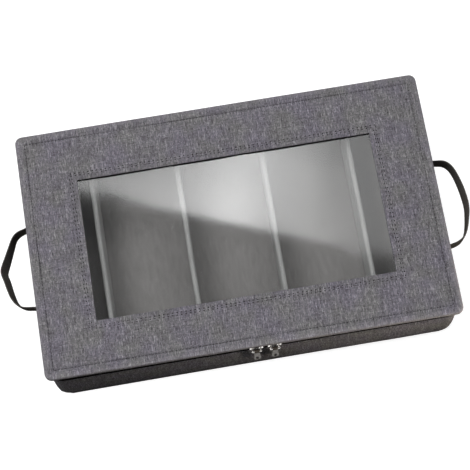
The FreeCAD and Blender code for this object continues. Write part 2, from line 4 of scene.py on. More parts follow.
import bmesh
import bpy
from bmesh.types import BMEdge, BMFace, BMVert
from mathutils import Matrix, Vector, noise
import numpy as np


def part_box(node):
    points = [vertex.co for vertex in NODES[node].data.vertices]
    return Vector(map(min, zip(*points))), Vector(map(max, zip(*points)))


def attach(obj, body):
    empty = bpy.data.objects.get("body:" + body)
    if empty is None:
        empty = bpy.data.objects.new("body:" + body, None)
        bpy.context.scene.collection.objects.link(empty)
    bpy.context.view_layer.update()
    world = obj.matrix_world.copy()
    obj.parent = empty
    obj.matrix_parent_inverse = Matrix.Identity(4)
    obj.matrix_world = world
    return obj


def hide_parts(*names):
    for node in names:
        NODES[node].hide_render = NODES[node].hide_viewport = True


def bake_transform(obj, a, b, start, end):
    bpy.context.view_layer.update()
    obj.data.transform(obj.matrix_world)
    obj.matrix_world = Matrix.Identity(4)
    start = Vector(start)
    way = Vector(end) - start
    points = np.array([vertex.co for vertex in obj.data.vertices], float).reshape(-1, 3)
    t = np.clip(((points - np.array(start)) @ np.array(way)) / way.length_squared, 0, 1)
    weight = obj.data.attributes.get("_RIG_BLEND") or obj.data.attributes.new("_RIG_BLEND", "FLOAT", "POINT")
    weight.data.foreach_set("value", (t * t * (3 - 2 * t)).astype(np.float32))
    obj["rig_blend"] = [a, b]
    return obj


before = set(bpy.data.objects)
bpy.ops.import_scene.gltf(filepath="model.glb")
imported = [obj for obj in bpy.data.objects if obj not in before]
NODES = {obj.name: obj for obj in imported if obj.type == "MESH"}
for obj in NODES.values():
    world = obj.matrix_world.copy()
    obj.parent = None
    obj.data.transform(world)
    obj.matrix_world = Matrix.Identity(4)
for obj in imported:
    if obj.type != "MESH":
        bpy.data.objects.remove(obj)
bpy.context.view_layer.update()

# Zippered storage case in charcoal heather cloth, with a clear window in its lid.
# Metres, in the frame of the solids: +X the right-hand end, -Y the zipper side, +Z up.

MM = 0.001
SCENE = bpy.context.scene
UP = Vector((0, 0, 1))

# Thicknesses of cloth and the seams' places on it
CLOTH = 0.8 * MM
LID_EDGE_ROUND = 1.8 * MM
LID_SEAM_DEPTH = 9.0 * MM
WINDOW_SEAM = 12.0 * MM
WINDOW_STITCH_GAP = 6.0 * MM
RIM_SEAM_DROP = 3.0 * MM
BODY_CORNER = 14.0 * MM
LID_CORNER = 7.0 * MM
BASE_EDGE_ROUND = 3.0 * MM
TAPE_SHOW_LEFT = 8.4 * MM
TAPE_SHOW_RIGHT = 3.4 * MM
TAPE_HIDDEN = 3 * MM
TAPE_THICK = 0.6 * MM
RELIEF_ROOM = 0.3 * MM
PAD_ROUND = 1.2 * MM
STRAP_THICK = 1.5 * MM
SEWN_LENGTH = 22 * MM

# Yarn of the heather cloth, with the steps in the noise that set a thread or a pair of threads apart from the next
THREAD_PITCH = 0.55 * MM
WARP_SLUB = 5.2 * MM
WEFT_SLUB = 3.0 * MM
STREAK_RUN = 15 * MM
THREAD_STEP = 7.31
PAIR_STEP = 5.17

Outline = namedtuple("Outline", "left right front back radius")


# Outlines in plan

def outline_of(node, radius):
    """The rounded plan of a node."""
    low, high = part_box(node)
    return Outline(low.x, high.x, low.y, high.y, radius)


def inset(outline, depth):
    """An outline drawn in by a depth."""
    radius = max(outline.radius - depth, 0.0)
    return Outline(outline.left + depth, outline.right - depth, outline.front + depth, outline.back - depth, radius)


def corner_reach(outline, point):
    """How far a point lies past the start of its corner along x and y, and which corner that is."""
    across_x = point.x - (outline.left + outline.right) / 2
    across_y = point.y - (outline.front + outline.back) / 2
    reach_x = abs(across_x) - (outline.right - outline.left) / 2 + outline.radius
    reach_y = abs(across_y) - (outline.back - outline.front) / 2 + outline.radius
    return reach_x, reach_y, math.copysign(1, across_x), math.copysign(1, across_y)


def depth_inside(outline, point):
    """How far a point lies inside an outline."""
    reach_x, reach_y, _, _ = corner_reach(outline, point)
    past_corner = math.hypot(max(reach_x, 0), max(reach_y, 0))
    return outline.radius - past_corner - min(max(reach_x, reach_y), 0)


def outward(outline, point):
    """The way out of an outline, square to its edge."""
    reach_x, reach_y, side_x, side_y = corner_reach(outline, point)
    if reach_x > 0 and reach_y > 0:
        return Vector((side_x * reach_x, side_y * reach_y, 0)).normalized()
    if reach_x > reach_y:
        return Vector((side_x, 0, 0))
    return Vector((0, side_y, 0))


def along_outline(outline, height, corner_steps=10):
    """Points round an outline, counter-clockwise from the front left corner's end."""
    radius = outline.radius
    centres = (
        (outline.right - radius, outline.front + radius, -90),
        (outline.right - radius, outline.back - radius, 0),
        (outline.left + radius, outline.back - radius, 90),
        (outline.left + radius, outline.front + radius, 180),
    )
    points = []
    for x, y, first in centres:
        for step in range(corner_steps + 1):
            turn = math.radians(first + 90 * step / corner_steps)
            points.append(Vector((x + radius * math.cos(turn), y + radius * math.sin(turn), height)))
    return points


def clamp(value):
    """A value held between nought and one."""
    return min(max(value, 0), 1)


def even_steps(low, high, count):
    """Places from low to high in a count of equal steps."""
    return [low + (high - low) * step / count for step in range(count + 1)]


def ripple(point, size, height):
    """A smooth unevenness of about that size across and that height."""
    return noise.noise(Vector(point) / size) * height


def swell(distance, width, height):
    """A soft ridge, or a groove where the height is negative."""
    return height * math.exp(-(distance / width) ** 2)


# Cloth in the making

def fit_to(bm, outline, height):
    """Bring a unit square onto an outline's rectangle."""
    length = outline.right - outline.left
    width = outline.back - outline.front
    middle = ((outline.left + outline.right) / 2, (outline.front + outline.back) / 2, height)
    bmesh.ops.scale(bm, vec=(length, width, 1), verts=bm.verts)
    bmesh.ops.translate(bm, vec=middle, verts=bm.verts)


def flat_cloth(outline, height, cell):
    """A level sheet over an outline's rectangle, in square cells."""
    bm = bmesh.new()
    columns = max(1, round((outline.right - outline.left) / cell))
    rows = max(1, round((outline.back - outline.front) / cell))
    bmesh.ops.create_grid(bm, x_segments=columns, y_segments=rows, size=0.5)
    fit_to(bm, outline, height)
    return bm


def of_kind(items, kind):
    """The points, edges or faces among a mesh's items."""
    return [item for item in items if isinstance(item, kind)]


def whole(bm):
    """All of a mesh, as the cutting operators want it."""
    return bm.verts[:] + bm.edges[:] + bm.faces[:]


def score(bm, normal, places):
    """Cut straight lines across a sheet, so that a seam or an edge gets rows of points of its own."""
    normal = Vector(normal)
    for place in places:
        bmesh.ops.bisect_plane(bm, geom=whole(bm), dist=2e-5, plane_co=normal * place, plane_no=normal)


def score_seams(bm, outline, depths):
    """Cut lines across a sheet at depths inside all four sides of an outline."""
    score(bm, (1, 0, 0), [outline.left + d for d in depths] + [outline.right - d for d in depths])
    score(bm, (0, 1, 0), [outline.front + d for d in depths] + [outline.back - d for d in depths])


def cut_window(bm, window):
    """Take out the faces of a sheet that lie in the window."""
    inside = [face for face in bm.faces if depth_inside(window, face.calc_center_median()) > 0]
    bmesh.ops.delete(bm, geom=inside, context="FACES")


def round_corners(bm, outline):
    """Draw a sheet's square corners in to the outline's round ones."""
    for vert in bm.verts:
        reach_x, reach_y, side_x, side_y = corner_reach(outline, vert.co)
        if reach_x > 0 and reach_y > 0:
            shrink = 1 - max(reach_x, reach_y) / math.hypot(reach_x, reach_y)
            vert.co.x -= side_x * reach_x * shrink
            vert.co.y -= side_y * reach_y * shrink


def in_mm(*pairs):
    """Pairs of lengths, given in millimetres."""
    return [(first * MM, second * MM) for first, second in pairs]


def fold_edge(bm, edges, outline, steps):
    """Fold a sheet's edge over, in steps outwards and upwards."""
    for out, up in steps:
        made = bmesh.ops.extrude_edge_only(bm, edges=edges)["geom"]
        verts = set(of_kind(made, BMVert))
        edges = [edge for edge in of_kind(made, BMEdge) if set(edge.verts) <= verts]
        for vert in verts:
            vert.co += outward(outline, vert.co) * out + Vector((0, 0, up))
    return edges


def quarter_round(radius, steps, downward=True):
    """Steps of a quarter circle from level to upright, for a folded edge."""
    side = -1 if downward else 1
    turns = [math.pi / 2 * step / steps for step in range(steps + 1)]
    places = [(math.sin(turn), 1 - math.cos(turn)) for turn in turns]
    return [((b[0] - a[0]) * radius, side * (b[1] - a[1]) * radius) for a, b in zip(places, places[1:])]


def standing_band(outline, heights, cell, corner_steps=8):
    """A band of cloth standing on an outline, with a row of points at each height."""
    bm = bmesh.new()
    bmesh.ops.create_grid(bm, x_segments=1, y_segments=1, size=0.5)
    fit_to(bm, outline, heights[0])
    bmesh.ops.bevel(
        bm, geom=bm.verts[:], offset=outline.radius, offset_type="OFFSET", segments=corner_steps, profile=0.5,
        affect="VERTICES", material=-1,
    )
    bmesh.ops.delete(bm, geom=bm.faces[:], context="FACES_ONLY")
    for edge in [edge for edge in bm.edges if edge.calc_length() > 2 * cell]:
        bmesh.ops.subdivide_edges(bm, edges=[edge], cuts=round(edge.calc_length() / cell) - 1)
    edges = bm.edges[:]
    for lower, upper in zip(heights, heights[1:]):
        edges = fold_edge(bm, edges, outline, [(0, upper - lower)])
    face_out(bm, outline)
    return bm, edges


def face_out(bm, outline):
    """Point a standing band's faces outwards."""
    bmesh.ops.recalc_face_normals(bm, faces=bm.faces)
    bm.normal_update()
    face = next(face for face in bm.faces if abs(face.normal.z) < 0.5)
    if face.normal.dot(outward(outline, face.calc_center_median())) < 0:
        bmesh.ops.reverse_faces(bm, faces=bm.faces)


def face_up(bm):
    """Point a level sheet's faces upwards."""
    bmesh.ops.recalc_face_normals(bm, faces=bm.faces)
    bm.normal_update()
    level = max(bm.faces, key=lambda face: abs(face.normal.z) * face.calc_area())
    if level.normal.z < 0:
        bmesh.ops.reverse_faces(bm, faces=bm.faces)


def keep_beyond(bm, place, behind):
    """Keep only what lies behind, or in front of, a line across the case."""
    bmesh.ops.bisect_plane(
        bm, geom=whole(bm), dist=1e-6, plane_co=(0, place, 0), plane_no=(0, 1, 0), clear_inner=behind,
        clear_outer=not behind,
    )


def lay_cloth(bm):
    """Give a sheet its own map in metres: level faces by plan, standing faces by their run and height."""
    cloth = bm.loops.layers.uv.new("cloth")
    bm.normal_update()
    for face in bm.faces:
        normal = face.normal
        for loop in face.loops:
            spot = loop.vert.co
            if abs(normal.z) > 0.7:
                loop[cloth].uv = (spot.x, spot.y)
            elif abs(normal.y) > abs(normal.x):
                loop[cloth].uv = (spot.x, spot.z)
            else:
                loop[cloth].uv = (spot.y, spot.z)


def lay_sheet(bm, outline=None, inward=False):
    """Turn a sheet's faces up, or a band's out of its outline, or either the other way, and give it its map."""
    if outline:
        face_out(bm, outline)
    else:
        face_up(bm)
    if inward:
        bmesh.ops.reverse_faces(bm, faces=bm.faces)
    lay_cloth(bm)


def add_object(name, data):
    """Put a mesh, a curve, a lamp or a camera in the scene."""
    made = bpy.data.objects.new(name, data)
    SCENE.collection.objects.link(made)
    return made


def mesh_object(name, bm, material):
    """Turn a finished mesh into an object with a material."""
    mesh = bpy.data.meshes.new(name)
    bm.to_mesh(mesh)
    bm.free()
    mesh.materials.append(material)
    return add_object(name, mesh)


def make_piece(name, bm, material, body=None, stands_for=()):
    """Turn a finished mesh into a piece of the case that rides on a body."""
    piece = mesh_object(name, bm, material)
    for polygon in piece.data.polygons:
        polygon.use_smooth = True
    if body:
        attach(piece, body)
    if stands_for:
        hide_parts(*stands_for)
    return piece


def thicken(piece, thickness):
    """Give a sheet its thickness on the inner side."""
    wall = piece.modifiers.new("thickness", "SOLIDIFY")
    wall.thickness = thickness
    wall.offset = -1


def soften(piece, width, segments=2, angle=50):
    """Round a piece's sharp edges."""
    bevel = piece.modifiers.new("soft edges", "BEVEL")
    bevel.width = width
    bevel.segments = segments
    bevel.limit_method = "ANGLE"
    bevel.angle_limit = math.radians(angle)


# Materials

class Nodes:
    """The nodes of a material, a lamp or the studio's air, in the making."""

    def __init__(self, owner, kind):
        owner.use_nodes = True
        self.tree = owner.node_tree
        self.tree.nodes.clear()
        self.output = self.tree.nodes.new("ShaderNodeOutput" + kind)

    def node(self, kind, inputs=None, **settings):
        """A node with its settings, and its inputs linked or set."""
        made = self.tree.nodes.new("ShaderNode" + kind)
        for name, setting in settings.items():
            setattr(made, name, setting)
        for name, given in (inputs or {}).items():
            self.feed(made.inputs[name], given)
        return made

    def feed(self, socket, given):
        if isinstance(given, bpy.types.NodeSocket):
            self.tree.links.new(given, socket)
        else:
            socket.default_value = given

    def show(self, shader):
        """Put a shader on the surface."""
        self.feed(self.output.inputs["Surface"], shader.outputs[0])

    def show_either(self, factor, first, second):
        """Put two shaders on the surface, by a factor."""
        self.show(self.node("MixShader", {0: factor, 1: first.outputs[0], 2: second.outputs[0]}))

    def seen_by_eye(self):
        """One for what the camera sees, straight or by gloss and glass, else nought."""
        path = self.node("LightPath").outputs
        seen = self.math("MAXIMUM", path["Is Camera Ray"], path["Is Glossy Ray"])
        return self.math("MAXIMUM", seen, path["Is Transmission Ray"])

    def math(self, operation, first, second=0.0):
        return self.node("Math", {0: first, 1: second}, operation=operation).outputs[0]

    def times(self, value, factor):
        return self.math("MULTIPLY", value, factor)

    def total(self, *parts):
        """The sum of values, each given with its weight."""
        total = self.times(*parts[0])
        for part in parts[1:]:
            total = self.math("ADD", total, self.times(*part))
        return total

    def part(self, vector, axis):
        return self.node("SeparateXYZ", {"Vector": vector}).outputs[axis]

    def ramp(self, factor, *stops):
        """A ramp through stops, each a place and a tone: a colour or a level of grey."""
        made = self.node("ValToRGB", {"Fac": factor})
        elements = made.color_ramp.elements
        while len(elements) < len(stops):
            elements.new(0.5)
        for element, (place, tone) in zip(elements, stops):
            element.position = place
            element.color = (*tone, 1) if isinstance(tone, tuple) else (tone, tone, tone, 1)
        return made.outputs["Color"]

    def fade(self, factor, first, last, start=0.3, end=0.7):
        """A ramp from one tone to another between two places."""
        return self.ramp(factor, (start, first), (end, last))


class Finish(Nodes):
    """A material in the making."""

    def __init__(self, name):
        self.material = bpy.data.materials.new(name)
        super().__init__(self.material, "Material")

    def cloth_map(self):
        return self.node("UVMap", uv_map="cloth").outputs["UV"]

    def solid_map(self):
        return self.node("TexCoord").outputs["Object"]

    def grain(self, vector, scale=1.0, detail=2.0, roughness=0.5, distortion=0.0):
        """Noise at a scale, or at three scales along x, y and z."""
        if isinstance(scale, tuple):
            vector = self.node("Mapping", {"Vector": vector, "Scale": scale}).outputs["Vector"]
            scale = 1.0
        made = self.node("TexNoise", {
            "Vector": vector, "Scale": scale, "Detail": detail, "Roughness": roughness, "Distortion": distortion,
        })
        return made.outputs["Fac"]

    def ribs(self, value, pitch):
        """Rounded ribs at a pitch."""
        return self.math("ABSOLUTE", self.math("SINE", self.times(value, math.pi / pitch)))

    def pick(self, factor, first, second):
        """One value or another, by a factor."""
        return self.node("Mix", {"Factor": factor, "A": first, "B": second}).outputs["Result"]

    def mix(self, factor, first, second, blend="MIX"):
        """Two colours mixed by a factor."""
        made = self.node("Mix", {"Factor": factor}, data_type="RGBA", blend_type=blend)
        for name, given in (("A", first), ("B", second)):
            socket = next(s for s in made.inputs if s.name == name and s.type == "RGBA")
            self.feed(socket, (*given, 1) if isinstance(given, tuple) else given)
        return next(s for s in made.outputs if s.type == "RGBA")

    def darken(self, tone, shade):
        return self.mix(1.0, tone, shade, blend="MULTIPLY")

    def bump(self, height, distance, strength):
        made = self.node("Bump", {"Height": height, "Distance": distance, "Strength": strength})
        return made.outputs["Normal"]

    def coat(self, colour, roughness, normal, **sockets):
        """The usual shader, with further sockets by their names."""
        inputs = {"Base Color": colour, "Roughness": roughness, "Normal": normal}
        for name, given in sockets.items():
            inputs[name.replace("_", " ")] = given
        return self.node("BsdfPrincipled", inputs)

    def coated(self, *looks, **sockets):
        """The material, with the usual shader on it."""
        self.show(self.coat(*looks, **sockets))
        return self.material


def thread_set(finish, across, along, slub):
    """One set of threads: each thread's shade as it changes along its length, and its roundness."""
    count = finish.times(across, 1 / THREAD_PITCH)
    thread = finish.math("FLOOR", count)
    pair = finish.math("FLOOR", finish.times(count, 0.5))
    spot = finish.node("CombineXYZ", {"X": finish.times(thread, THREAD_STEP), "Y": finish.times(along, 1 / slub)})
    run = finish.node("CombineXYZ", {
        "X": finish.times(pair, PAIR_STEP), "Y": finish.times(along, 1 / STREAK_RUN), "Z": 3.3,
    })
    slubs = finish.grain(spot.outputs[0], detail=1.0, roughness=0.8)
    streaks = finish.grain(run.outputs[0], detail=0.0)
    shade = finish.math("SUBTRACT", finish.total((slubs, 0.82), (streaks, 0.26)), 0.04)
    crown = finish.math("SINE", finish.times(finish.math("FRACT", count), math.pi))
    return shade, crown


def heather_cloth(name, dark, middle, light, warm, cool):
    """Linen-look cloth of marled yarn: slubs that run along the threads, with patches of warmer and cooler grey."""
    finish = Finish(name)
    cloth = finish.cloth_map()
    x, y = finish.part(cloth, "X"), finish.part(cloth, "Y")
    warp, warp_crown = thread_set(finish, x, y, WARP_SLUB)
    weft, weft_crown = thread_set(finish, y, x, WEFT_SLUB)
    checker = finish.node("TexChecker", {"Vector": cloth, "Scale": 1 / THREAD_PITCH}).outputs["Fac"]
    warp_tone = finish.ramp(warp, (0.32, dark), (0.46, middle), (0.54, middle), (0.68, light))
    weft_tone = finish.ramp(weft, (0.28, dark), (0.46, middle), (0.54, middle), (0.72, light))
    tone = finish.mix(finish.fade(checker, 0.22, 0.64, 0.0, 1.0), warp_tone, weft_tone)
    patches = finish.grain(cloth, scale=40, detail=1)
    tone = finish.darken(tone, finish.fade(patches, warm, cool, 0.36, 0.64))
    yarn = finish.pick(checker, warp, weft)
    across = finish.pick(checker, warp_crown, weft_crown)
    along = finish.pick(checker, weft_crown, warp_crown)
    roundness = finish.times(across, finish.math("ADD", finish.times(along, 0.5), 0.5))
    fuzz = finish.grain(cloth, (2600, 2600, 1), roughness=0.6)
    depth = finish.total((roundness, 0.55), (fuzz, 0.5))
    # Painted shade: the tone darkens in the gaps between threads and towards each thread's sides, as on rounded yarn,
    # and partly at random by the fuzz.
    tone = finish.darken(tone, finish.fade(depth, 0.42, 1.0, 0.20, 0.75))
    # Painted highlight: the tone turns towards the light thread's grey near the lid's edge, where the rolled edge
    # catches the light.
    edge_highlight = finish.node("Attribute", attribute_name="edge_highlight").outputs["Fac"]
    tone = finish.mix(finish.times(edge_highlight, 0.13), tone, light)
    normal = finish.bump(finish.total((depth, 1), (yarn, 0.8)), 0.16 * MM, 0.75)
    rough = finish.fade(yarn, 0.96, 0.84)
    return finish.coated(tone, rough, normal, Specular_IOR_Level=0.0, Sheen_Weight=0.04, Sheen_Roughness=0.5)


def brushed_cloth(name, low, high):
    """Soft brushed lining with a short, uneven nap."""
    finish = Finish(name)
    cloth = finish.cloth_map()
    nap = finish.grain(cloth, (900, 900, 1), detail=3, roughness=0.65)
    strokes = finish.grain(cloth, (240, 60, 1))
    patches = finish.grain(cloth, scale=22)
    tone = finish.fade(finish.total((nap, 0.5), (strokes, 0.3), (patches, 0.2)), low, high, 0.32, 0.68)
    normal = finish.bump(nap, 0.12 * MM, 0.6)
    rough = finish.fade(strokes, 0.95, 0.8)
    return finish.coated(tone, rough, normal, Specular_IOR_Level=0.03, Sheen_Weight=0.10, Sheen_Roughness=0.4)


def pressed_cloth(name, low, high):
    """Black non-woven cloth with a grid of pressed dots."""
    finish = Finish(name)
    cloth = finish.cloth_map()
    dots = finish.node("TexVoronoi", {"Vector": cloth, "Scale": 900.0, "Randomness": 0.15}).outputs["Distance"]
    fibres = finish.grain(cloth, (500, 500, 1), detail=4, roughness=0.7, distortion=1.2)
    normal = finish.bump(finish.total((dots, 1), (fibres, 0.4)), 0.12 * MM, 0.7)
    tone, rough = finish.fade(fibres, low, high), finish.fade(fibres, 0.9, 0.72)
    return finish.coated(tone, rough, normal, Specular_IOR_Level=0.0)


def twill_tape(name, low, high):
    """Zipper tape: fine slanting ribs."""
    finish = Finish(name)
    cloth = finish.cloth_map()
    slant = finish.math("ADD", finish.part(cloth, "X"), finish.part(cloth, "Y"))
    ribs = finish.ribs(slant, 0.7 * MM)
    lint = finish.grain(cloth, (700, 700, 1), detail=3)
    tone = finish.fade(finish.times(ribs, lint), low, high, 0.1, 0.6)
    normal = finish.bump(ribs, 0.12 * MM, 0.8)
    return finish.coated(tone, finish.fade(lint, 0.9, 0.75), normal, Specular_IOR_Level=0.0)


def ribbed_webbing(name, low, high):
    """Strap webbing: rows of warp along it, and ribs across it that lean from row to row."""
    finish = Finish(name)
    cloth = finish.cloth_map()
    along, across = finish.part(cloth, "X"), finish.part(cloth, "Y")
    rows = finish.ribs(across, 1.3 * MM)
    ribs = finish.ribs(finish.total((along, 1), (rows, 0.5 * MM)), 1.15 * MM)
    fuzz = finish.grain(cloth, (420, 900, 1), detail=3, roughness=0.65)
    tone = finish.fade(finish.total((ribs, 0.5), (fuzz, 0.6)), low, high, 0.25, 0.85)
    normal = finish.bump(finish.total((ribs, rows), (fuzz, 0.25)), 0.3 * MM, 0.8)
    return finish.coated(tone, finish.fade(fuzz, 0.8, 0.55), normal, Specular_IOR_Level=0.0)


def sewing_thread(name, low, high):
    """Twisted thread."""
    finish = Finish(name)
    twist = finish.grain(finish.solid_map(), (1600, 1600, 1600))
    normal = finish.bump(twist, 0.1 * MM, 0.7)
    return finish.coated(finish.fade(twist, low, high), 0.7, normal, Specular_IOR_Level=0.05)


def moulded_plastic(name, low, high):
    """Moulded teeth with a slightly pebbled skin."""
    finish = Finish(name)
    solid = finish.solid_map()
    pebbles = finish.grain(solid, scale=900)
    clouds = finish.grain(solid, scale=120, detail=1)
    normal = finish.bump(pebbles, 0.05 * MM, 0.5)
    return finish.coated(finish.fade(clouds, low, high, 0.35, 0.65), finish.fade(pebbles, 0.34, 0.55), normal)


def plated_metal(name, low, high, dullness=0.0):
    """Nickel plate, polished or dulled, with fine rub marks and a cloudy tone."""
    finish = Finish(name)
    solid = finish.solid_map()
    rubs = finish.grain(solid, (300, 300, 2600), detail=3, roughness=0.7)
    clouds = finish.grain(solid, scale=260)
    rough = finish.fade(rubs, 0.10 + dullness, 0.30 + dullness, 0.3, 0.75)
    return finish.coated(finish.fade(clouds, low, high), rough, finish.bump(rubs, 0.02 * MM, 0.5), Metallic=1.0)


def grey_board(name, low, high):
    """Pressed board with short fibres and flecks."""
    finish = Finish(name)
    solid = finish.solid_map()
    fibres = finish.grain(solid, (420, 420, 420), detail=4, roughness=0.7, distortion=1.5)
    flecks = finish.fade(finish.grain(solid, scale=700, detail=1), 1.0, 0.6, 0.62, 0.70)
    tone = finish.darken(finish.fade(fibres, low, high), flecks)
    return finish.coated(tone, 0.9, finish.bump(fibres, 0.08 * MM, 0.5), Specular_IOR_Level=0.25)


def clear_pvc(name):
    """Clear window sheet: glossy and faintly wavy. Light from the lamps passes through it."""
    finish = Finish(name)
    solid = finish.solid_map()
    waves = finish.grain(solid, (14, 18, 18), detail=1, roughness=0.4)
    fine = finish.grain(solid, (160, 160, 160))
    normal = finish.bump(finish.total((waves, 1), (fine, 0.002)), 0.15 * MM, 0.1)
    rough = finish.fade(waves, 0.040, 0.055)
    sheet = finish.coat((0.97, 0.98, 0.98, 1), rough, normal, IOR=1.5, Transmission_Weight=1.0)
    clear = finish.node("BsdfTransparent", {"Color": (0.93, 0.94, 0.94, 1)})
    path = finish.node("LightPath").outputs
    unseen = finish.math("MAXIMUM", path["Is Shadow Ray"], path["Is Diffuse Ray"])
    finish.show_either(unseen, sheet, clear)
    return finish.material


HEATHER = heather_cloth(
    "heather cloth", (0.042, 0.039, 0.043), (0.196, 0.184, 0.196), (0.490, 0.468, 0.488),
    (0.98, 1.01, 0.98), (0.965, 0.96, 1.06),
)
LINING = brushed_cloth("brushed lining", (0.165, 0.155, 0.152), (0.270, 0.257, 0.252))
DIVIDER_CLOTH = brushed_cloth("divider cloth", (0.25, 0.245, 0.24), (0.42, 0.41, 0.405))
BASE_CLOTH = pressed_cloth("black base cloth", (0.010, 0.010, 0.010), (0.028, 0.027, 0.027))
TAPE = twill_tape("zipper tape", (0.006, 0.006, 0.006), (0.022, 0.021, 0.021))
WEBBING = ribbed_webbing("strap webbing", (0.047, 0.043, 0.039), (0.140, 0.129, 0.119))
THREAD = sewing_thread("seam thread", (0.010, 0.009, 0.010), (0.030, 0.028, 0.029))
STRAP_THREAD = sewing_thread("strap thread", (0.030, 0.028, 0.027), (0.080, 0.076, 0.074))
TEETH = moulded_plastic("zipper teeth", (0.008, 0.008, 0.008), (0.018, 0.018, 0.018))
NICKEL = plated_metal("nickel plate", (0.70, 0.67, 0.63), (0.90, 0.87, 0.83))
# The pulls' nickel is rougher than the sliders' and painted near-black: a shaded copy of the same plate, painted
# shade that keeps the hanging pulls dim.
SHADED_NICKEL = plated_metal("dulled nickel in painted shade", (0.035, 0.029, 0.024), (0.085, 0.072, 0.060), dullness=0.3)
BOARD = grey_board("grey board", (0.20, 0.17, 0.14), (0.34, 0.30, 0.25))
PVC = clear_pvc("clear window sheet")


# Sizes read from the solids

LID = outline_of("lid_cover", LID_CORNER)
LID_LOW, LID_HIGH = (corner.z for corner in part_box("lid_cover"))
LID_FACE = LID_HIGH - RELIEF_ROOM
SHEET = outline_of("window_sheet", 0.0)
WINDOW = inset(SHEET, WINDOW_SEAM)
WALL = outline_of("wall_cover", BODY_CORNER)
WALL_LOW, RIM = (corner.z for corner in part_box("wall_cover"))


# Lid

# Each crease has a start, an end, a width and a height
CREASES = (
    (Vector((0.1290, 0.1190, 0)), Vector((0.1345, 0.0745, 0)), 0.9 * MM, 0.30 * MM),
    (Vector((0.1500, 0.0715, 0)), Vector((0.1890, 0.0700, 0)), 0.9 * MM, 0.24 * MM),
)


def crease_height(point):
    """Ridges where the board under the lid's cloth is joined."""
    total = 0.0
    for start, end, width, height in CREASES:
        run = end - start
        share = (Vector((point.x, point.y, 0)) - start).dot(run) / run.length_squared
        if -0.1 < share < 1.1:
            foot = start + run * clamp(share)
            total += swell(math.hypot(point.x - foot.x, point.y - foot.y), width, height)
    return total


def lid_relief(point):
    """Height of the lid's cloth over its flat board: puffed edge, sewn grooves, turned hem and slack."""
    depth = depth_inside(LID, point)
    gap = -depth_inside(WINDOW, point)
    height = ripple(point, 0.055, 0.28 * MM) + ripple(point, 0.018, 0.08 * MM)
    if depth < LID_SEAM_DEPTH:
        height += 0.40 * MM * math.sin(math.pi * clamp(depth / LID_SEAM_DEPTH))
    height += swell(depth - LID_SEAM_DEPTH, 0.75 * MM, -0.85 * MM)
    height += swell(gap - WINDOW_STITCH_GAP, 1.3 * MM, -0.25 * MM)
    if gap < WINDOW_STITCH_GAP:
        height += 0.18 * MM * math.sin(math.pi * clamp(gap / WINDOW_STITCH_GAP))
    return height + crease_height(point)


def score_creases(bm):
    """Cut rows of points along each crease of the lid, near it only."""
    for start, end, width, _ in CREASES:
        middle = (start + end) / 2
        near = [face for face in bm.faces if (face.calc_center_median() - middle).to_2d().length < 40 * MM]
        run = (end - start).normalized()
        across = Vector((-run.y, run.x, 0))
        for step in (-1.6, -0.8, 0.0, 0.8, 1.6):
            parts = {item for face in near if face.is_valid for item in (face, *face.edges, *face.verts)}
            cut = bmesh.ops.bisect_plane(
                bm, geom=list(parts), dist=1e-5, plane_co=start + across * step * width, plane_no=across,
            )
            near = of_kind(cut["geom"], BMFace)


def make_lid_cloth():
    """Lid's cloth: hemmed round the window, puffed along its edge and turned down over the board."""
    flat = inset(LID, LID_EDGE_ROUND)
    bm = flat_cloth(flat, LID_FACE, 3.5 * MM)
    seam_depths = [LID_SEAM_DEPTH + step * 0.6 * MM for step in range(-3, 4)]
    edge_depths = [LID_EDGE_ROUND + step * MM for step in (1.2, 2.6, 4.2, 5.6)]
    stitch_depths = [-WINDOW_STITCH_GAP + step * 0.8 * MM for step in range(-2, 3)]
    score_seams(bm, LID, seam_depths + edge_depths)
    score_seams(bm, WINDOW, [0.0, *stitch_depths])
    score_creases(bm)
    cut_window(bm, WINDOW)
    round_corners(bm, flat)
    for vert in bm.verts:
        vert.co.z += lid_relief(vert.co)
    rims = [edge for edge in bm.edges if edge.is_boundary]
    hem = [edge for edge in rims if depth_inside(LID, (edge.verts[0].co + edge.verts[1].co) / 2) > 20 * MM]
    skirt = [edge for edge in rims if edge not in set(hem)]
    fold_edge(bm, hem, WINDOW, in_mm((-0.15, -0.12), (-0.1, -0.3), (0.05, -0.45)))
    drop = LID_FACE - LID_LOW - LID_EDGE_ROUND
    down = [(0, -drop * 0.5), (0, -drop * 0.5 + 0.5 * MM)] + in_mm((-0.25, -0.4), (-0.5, -0.1))
    edges = fold_edge(bm, skirt, flat, quarter_round(LID_EDGE_ROUND, 4) + down)
    fold_edge(bm, edges, flat, in_mm((-0.3, 0.3), (0, 1.6)))
    lay_sheet(bm)
    # Mask of the painted highlight along the lid's edge: one at the edge, fading to nought 6 mm in.
    edge_highlight = bm.verts.layers.float.new("edge_highlight")
    for vert in bm.verts:
        vert[edge_highlight] = clamp(1 - depth_inside(LID, vert.co) / (6 * MM))
    make_piece("lid_cloth", bm, HEATHER, "lid", ["lid_cover"])


def make_window_sheet():
    """Clear sheet that lies flat where it is sewn in and sags a little in the opening."""
    low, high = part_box("window_sheet")
    bm = flat_cloth(SHEET, high.z - 0.03 * MM, 6 * MM)
    for vert in bm.verts:
        depth = depth_inside(WINDOW, vert.co)
        if depth > 0:
            slack = min(depth / (30 * MM), 1.0)
            vert.co.z += slack * (ripple(vert.co, 0.11, 0.04 * MM) - 0.05 * MM)
    lay_sheet(bm)
    sheet = make_piece("window_pvc", bm, PVC, "lid", ["window_sheet"])
    thicken(sheet, high.z - low.z - 0.06 * MM)


def make_window_binding():
    """Black tape over the cut edges of board and lining, just inside the opening."""
    _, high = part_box("lid_board")
    edge = inset(WINDOW._replace(radius=0.4 * MM), 0.1 * MM)
    base = LID_LOW + 0.4 * MM
    bm, _ = standing_band(edge, even_steps(base, high.z, 4), 6 * MM, corner_steps=3)
    for vert in bm.verts:
        share = (vert.co.z - base) / (high.z - base)
        vert.co -= outward(edge, vert.co) * (0.25 * MM * math.sin(math.pi * share))
    lay_sheet(bm, edge, inward=True)
    make_piece("window_binding", bm, TAPE, "lid")


